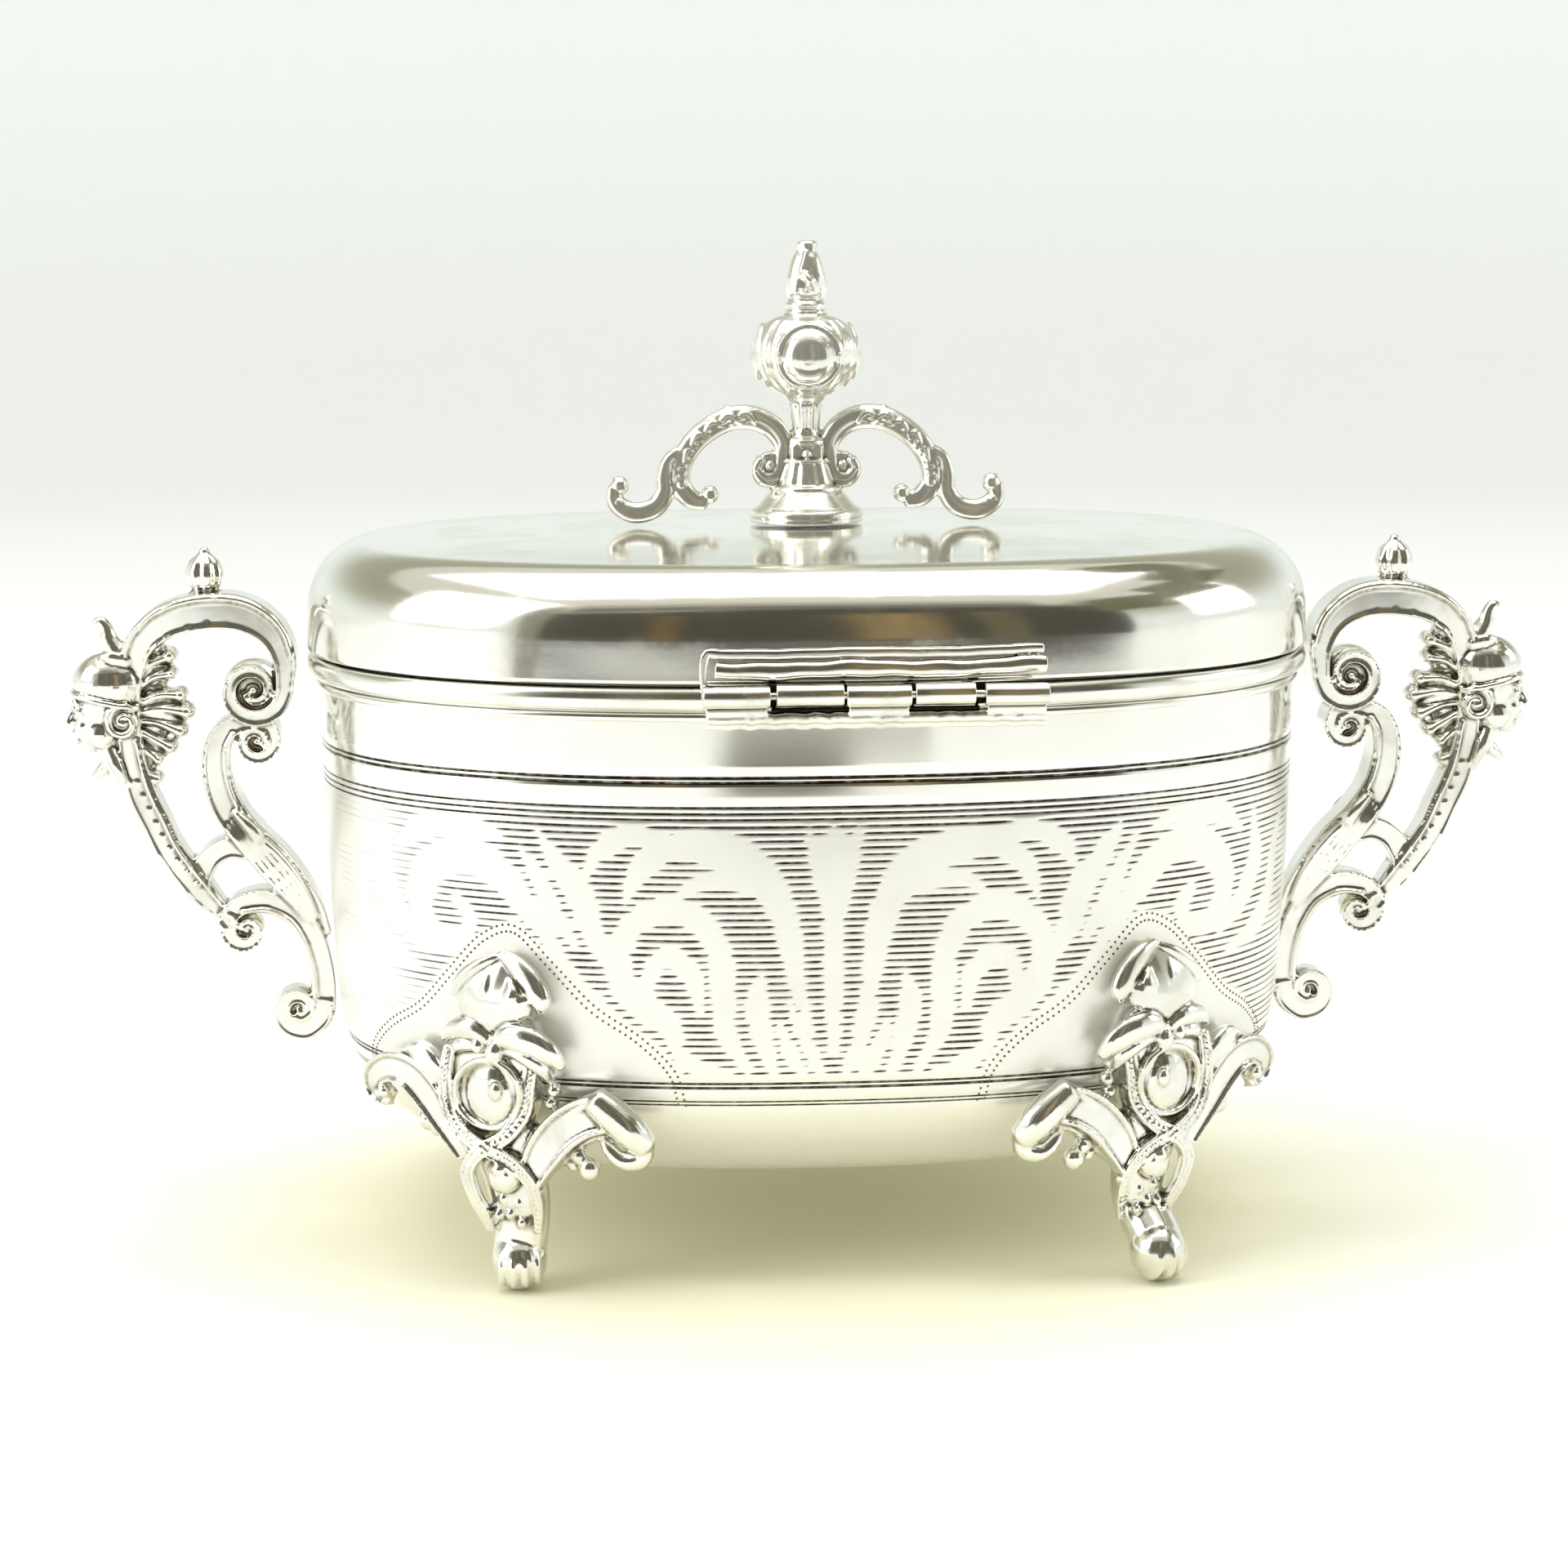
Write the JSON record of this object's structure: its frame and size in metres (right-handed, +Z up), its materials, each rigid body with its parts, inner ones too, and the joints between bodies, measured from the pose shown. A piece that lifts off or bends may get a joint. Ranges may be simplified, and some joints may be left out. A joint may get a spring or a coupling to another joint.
{
  "type": "trinket box",
  "caption": "Oval footed vanity casket in silver plate with a hinged domed lid, scroll finial, cast mask handles and engraved sides.",
  "frame": {"origin": "on the floor under the middle of the casket; the centre of the oval is 1.7 mm from it in +Y, because the hinge reaches past the rim", "axes": "+X along the long axis from handle to handle, +Y from the hinge to the opening side, +Z up"},
  "size_m": [0.2028, 0.0993, 0.1342],
  "materials": {
    "polished_silver_plate": "polished silver plate, fine wear scratches, hand engraved sides",
    "cast_silver_plate": "cast and chased silver plate, tarnish in the recesses",
    "hinge_silver": "hand filed and soldered plate",
    "pin_wire": "drawn wire",
    "plated_brass_fixing": "turned, plating worn"
  },
  "bodies": {
    "box": {"bowl": "polished_silver_plate", "rim_bead": "polished_silver_plate", "hinge_body_leaf": "hinge_silver", "hinge_body_knuckle_left": "hinge_silver", "hinge_body_knuckle_middle": "hinge_silver", "hinge_body_knuckle_right": "hinge_silver", "hinge_pin": "pin_wire", "handle_left_arch": "cast_silver_plate", "handle_left_scroll": "cast_silver_plate", "handle_left_mask": "cast_silver_plate", "handle_left_leaf": "cast_silver_plate", "handle_left_bud": "cast_silver_plate", "handle_right_arch": "cast_silver_plate", "handle_right_scroll": "cast_silver_plate", "handle_right_mask": "cast_silver_plate", "handle_right_leaf": "cast_silver_plate", "handle_right_bud": "cast_silver_plate", "foot_hinge_left": "cast_silver_plate", "foot_hinge_right": "cast_silver_plate", "foot_front_left": "cast_silver_plate", "foot_front_right": "cast_silver_plate"},
    "lid": {"lid": "polished_silver_plate", "hinge_lid_leaf": "hinge_silver", "hinge_lid_knuckle_left": "hinge_silver", "hinge_lid_knuckle_right": "hinge_silver", "finial_foot": "cast_silver_plate", "finial_stem": "cast_silver_plate", "finial_arm_left": "cast_silver_plate", "finial_arm_right": "cast_silver_plate", "finial_ball": "cast_silver_plate", "finial_tip": "cast_silver_plate", "finial_stud": "plated_brass_fixing", "finial_washer": "plated_brass_fixing", "finial_nut": "plated_brass_fixing"}
  },
  "joints": [
    {"name": "lid_hinge", "type": "hinge", "parent": "box", "child": "lid", "pos_m": [0.005, -0.04815, 0.0791], "axis": [1, 0, 0], "range_deg": [0, 105]}
  ]
}
